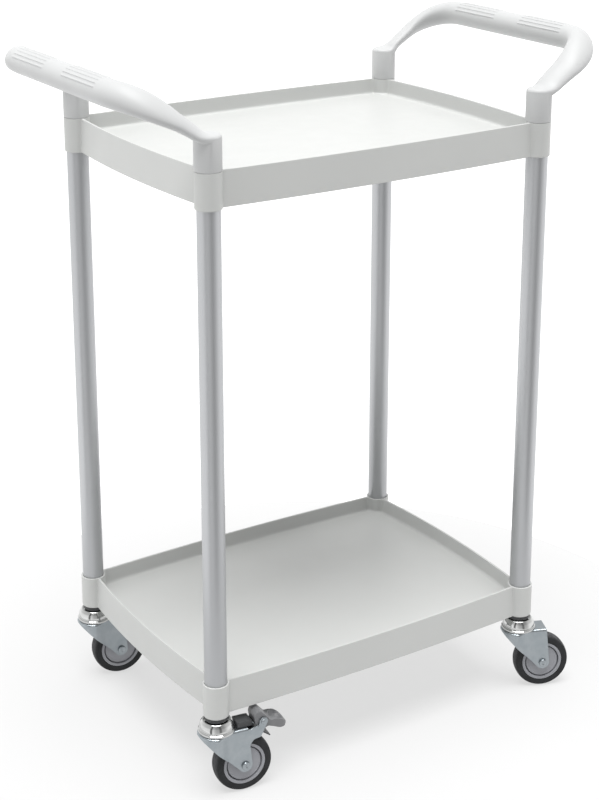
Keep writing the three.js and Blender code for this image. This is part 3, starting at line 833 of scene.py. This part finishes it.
def wheel(corner, hub, body):
    """Rubber tyre on a plastic core with a raised ring on each face."""
    angles = np.linspace(-1.45, 1.45, 29)
    tread = [(36.6 + 3.4 * math.cos(a) ** 0.75, 10.9 * math.sin(a)) for a in angles]
    section = [(30.0, -10.9), (33.4, -11.0), (36.6, -10.9), *tread,
               (36.6, 10.9), (33.4, 11.0), (30.0, 10.9), (29.9, 10.4), (29.9, -10.4)]
    tyre = lathe(f"tyre_{corner}_rubber", section, 144, "Y")
    dress(tyre, TYRE, body, [f"tyre_{corner}"], hub,
          sharp=60, weighted=False, own_origin=True)
    face = [(6.5, 9.6, 0), (7.0, 10.3, 0.3), (9.6, 10.3, 0.5), (10.6, 9.3, 0.8), (21.5, 8.9, 2),
            (23.5, 9.5, 0.4), (23.6, 3.6, 0.2), (25.4, 3.6, 0.2), (25.4, 10.75, 0.4),
            (29.3, 10.75, 0.4), (29.6, 10.2, 0)]
    front = rounded([(r, -h, c) for r, h, c in face], 3, closed=False)
    back = rounded(face[::-1], 3, closed=False)
    core = lathe(f"wheel_core_{corner}_disc", [*front, *back], 112, "Y")
    dress(core, CORE, body, [f"wheel_core_{corner}"], hub, sharp=45, weighted=False)


def brake_parts(corner, place, body):
    """Pedal, its pin, the spring leaf below it and the dark plate between the fork's cheeks."""
    lever = pedal(f"brake_pedal_{corner}_lever")
    dress(lever, PEDAL, f"pedal_{corner}", [f"brake_pedal_{corner}"], place,
          sharp=80, weighted=False)
    pivot = place @ Matrix.Translation(Vector((PIVOT_U, 0, PIVOT_Z)) * MM)
    head = [(0, 17.0), (1.4, 16.9), (2.6, 16.5), (3.4, 15.9), (3.6, 15.3), (2.5, 15.3)]
    pin = lathe(f"brake_pin_{corner}_rivet", [(r, -h) for r, h in head] + head[::-1], 40, "Y")
    dress(pin, ZINC, body, [f"brake_pin_{corner}"], pivot, sharp=50, weighted=False)
    strip = [(14, 89, 0), (44, 89, 8), (53.5, 84.6, 20), (63.3, 78.6, 20), (72.4, 72, 0), (73.3, 73.3, 0),
             (64.2, 80, 20), (54.2, 86.1, 20), (44.4, 90.6, 8), (14, 90.6, 0)]
    leaf = prism(f"brake_leaf_{corner}_strip", rounded(strip), -9, 9, "Y")
    soften(leaf, 0.3, 2, 40)
    dress(leaf, SPRING, body, [f"brake_leaf_{corner}"], place)
    pad = [(25.6, 94.4, 0.6), (48, 94.4, 0.6), (46.8, 101.4, 1), (42, 102.4, 3), (25.6, 102.4, 1.0)]
    plate = prism(f"lock_plate_{corner}_pad", rounded(pad), -10, 10, "Y")
    soften(plate, 0.5, 2, 40)
    dress(plate, DARK_AND_GAP_SHADE, body, [f"lock_plate_{corner}"], place)


def caster(corner, place, brake):
    """All the pieces of one caster. Local frame: swivel axis on Z, wheel trailing toward +X."""
    fork_body = f"fork_{corner}"
    hub = place @ Matrix.Translation(Vector((TRAIL, 0, WHEEL_R)) * MM)
    swivel(corner, place)
    pressing = fork(f"fork_{corner}_pressing", brake)
    dress(pressing, ZINC, fork_body, [f"fork_{corner}"], place, sharp=30)
    axle_parts(corner, hub, fork_body)
    wheel(corner, hub, f"wheel_{corner}")
    if brake:
        brake_parts(corner, place, fork_body)


# The joints of the model give each corner its place, its heading and whether it has a brake
corners = {}
for joint in frame["joints"]:
    kind, corner = joint["name"].split("_", 1)
    corners.setdefault(corner, {})[kind] = joint

for corner, joints in corners.items():
    x, y, _ = joints["swivel"]["pos_m"]
    axis = joints["roll"]["axis"]
    heading = math.atan2(-axis[0], axis[1])
    post_place = Matrix.Translation((x, y, 0))
    tube = lathe(f"post_{corner}_tube", rounded([
        (POST_R - POST_WALL, POST_BOTTOM, 0.2), (POST_R, POST_BOTTOM, 0.3), (POST_R, POST_TOP, 0.3),
        (POST_R - POST_WALL, POST_TOP, 0.2)], 2), 96)
    dress(tube, ALUMINIUM, "frame", [f"post_{corner}"], post_place,
          sharp=60, weighted=False)
    caster(corner, post_place @ Matrix.Rotation(heading, 4, "Z"), "brake" in joints)

# The hidden plugs and bushes stay as they are and only get a material
for name, obj in frame["nodes"].items():
    if name.startswith("post_plug"):
        obj.data.materials[0] = PLUG
    if name.startswith("axle_bush"):
        obj.data.materials[0] = ZINC


# ---- camera, floor and light ---------------------------------------------------------

CAMERA_SPOT = (-1.2508, -1.9383, 1.3573)
CAMERA_PITCH, CAMERA_HEADING = 0.2873, 0.5693   # radians below level and to the right of +Y
LENS, SENSOR = 78.47, 36.0
LENS_SHIFT = -0.196
FLOOR_R = 0.62                                  # metres
FLOOR_SHADE, FLOOR_GLOW = 0.21, 0.62
SUN_STRENGTH = 3.9
SUN_SPREAD, SUN_LEAN = 42, (9, -6, 0)           # degrees
SKY_STRENGTH = 1.45
# Sky level by height, which runs from 0 straight down to 1 straight up
SKY_DOWN, SKY_UP = (0.0, 0.95), (1.0, 0.42)
SKY_RISE = ((0.30, 0.95), (0.42, 0.93), (0.52, 0.88), (0.72, 0.60))
DARK_SIDE, DARK_STRIP = 267, 206                # bearings in degrees from +X
DARK_SIDE_STOPS = ((0.0, 1.0), (0.58, 0.98), (0.97, 0.52), (0.985, 0.50), (0.995, 0.22))
DARK_STRIP_STOPS = ((0.0, 1.0), (0.988, 1.0), (0.996, 0.18))

camera_data = bpy.data.cameras.new("camera")
camera_data.lens = LENS
camera_data.sensor_width = SENSOR
camera_data.shift_y = LENS_SHIFT
camera_data.clip_start, camera_data.clip_end = 0.05, 60.0
camera = bpy.data.objects.new("camera", camera_data)
camera.location = CAMERA_SPOT
camera.rotation_euler = (math.pi / 2 - CAMERA_PITCH, 0.0, -CAMERA_HEADING)
bpy.context.scene.collection.objects.link(camera)
bpy.context.scene.camera = camera

floor_angles = np.linspace(0, 2 * math.pi, 96, endpoint=False)
floor_edge = [(FLOOR_R / MM * math.cos(a), FLOOR_R / MM * math.sin(a), 0) for a in floor_angles]
floor = mesh_object("floor", floor_edge, [tuple(range(len(floor_edge)))])
floor_paint = bpy.data.materials.new("floor_paint")
floor_paint.use_nodes = True
floor_shader = floor_paint.node_tree.nodes["Principled BSDF"]
floor_shader.inputs["Base Color"].default_value = (FLOOR_SHADE, FLOOR_SHADE, FLOOR_SHADE, 1)
floor_shader.inputs["Emission Color"].default_value = (1, 1, 1, 1)
floor_shader.inputs["Emission Strength"].default_value = FLOOR_GLOW
floor_shader.inputs["Roughness"].default_value = 0.9
floor_shader.inputs["Specular IOR Level"].default_value = 0.1
floor.data.materials.append(floor_paint)

overhead_data = bpy.data.lights.new("overhead", "SUN")
overhead_data.energy = SUN_STRENGTH
overhead_data.angle = math.radians(SUN_SPREAD)
overhead = bpy.data.objects.new("overhead", overhead_data)
overhead.rotation_euler = [math.radians(a) for a in SUN_LEAN]
bpy.context.scene.collection.objects.link(overhead)

# Bright studio all round, with a darker side and two narrow dark strips that only reflections and
# bounced light see: the backdrop itself is plain white from every side
world = bpy.data.worlds.new("studio")
world.use_nodes = True
sky = world.node_tree
background = sky.nodes["Background"]
directions = node(sky, "ShaderNodeTexCoord")
level_only = node(sky, "ShaderNodeVectorMath", operation="MULTIPLY")
level_only.inputs[1].default_value = (1, 1, 0)
compass = node(sky, "ShaderNodeVectorMath", operation="NORMALIZE")
sky.links.new(directions.outputs["Generated"], level_only.inputs[0])
sky.links.new(level_only.outputs["Vector"], compass.inputs[0])


def darkening(bearing, stops):
    """Brightness by angle from a bearing; the stops are (cosine of that angle, level)."""
    angle = math.radians(bearing)
    toward = node(sky, "ShaderNodeVectorMath", operation="DOT_PRODUCT")
    toward.inputs[1].default_value = (math.cos(angle), math.sin(angle), 0)
    sky.links.new(compass.outputs["Vector"], toward.inputs[0])
    shade = node(sky, "ShaderNodeValToRGB")
    ramp = shade.color_ramp
    ramp.interpolation = "EASE"
    for place, level in stops:
        stop = ramp.elements.new(place)
        stop.color = (level, level, level, 1)
    ramp.elements.remove(ramp.elements[0])
    ramp.elements.remove(ramp.elements[-1])
    sky.links.new(toward.outputs["Value"], shade.inputs["Fac"])
    return shade.outputs["Color"]


dark_sides = node(sky, "ShaderNodeVectorMath", operation="MULTIPLY")
sky.links.new(darkening(DARK_SIDE, DARK_SIDE_STOPS), dark_sides.inputs[0])
sky.links.new(darkening(DARK_STRIP, DARK_STRIP_STOPS), dark_sides.inputs[1])
rays = node(sky, "ShaderNodeLightPath")
seen = node(sky, "ShaderNodeMix", data_type="RGBA")
seen.inputs["B"].default_value = (1, 1, 1, 1)
sky.links.new(rays.outputs["Is Camera Ray"], seen.inputs["Factor"])
sky.links.new(dark_sides.outputs["Vector"], seen.inputs["A"])
sky.links.new(seen.outputs["Result"], background.inputs["Color"])
apart = node(sky, "ShaderNodeSeparateXYZ")
sky.links.new(directions.outputs["Generated"], apart.inputs["Vector"])
rise = node(sky, "ShaderNodeFloatCurve")
curve = rise.mapping.curves[0]
for place, level in SKY_RISE:
    curve.points.new(place, level)
curve.points[0].location, curve.points[-1].location = SKY_DOWN, SKY_UP
sky.links.new(remap(sky, apart.outputs["Z"], 0, 1, -1, 1), rise.inputs["Value"])
brightness = node(sky, "ShaderNodeMath", operation="MULTIPLY")
brightness.inputs[1].default_value = SKY_STRENGTH
sky.links.new(rise.outputs["Value"], brightness.inputs[0])
sky.links.new(brightness.outputs["Value"], background.inputs["Strength"])
bpy.context.scene.world = world
bpy.context.scene.view_settings.view_transform = "Standard"
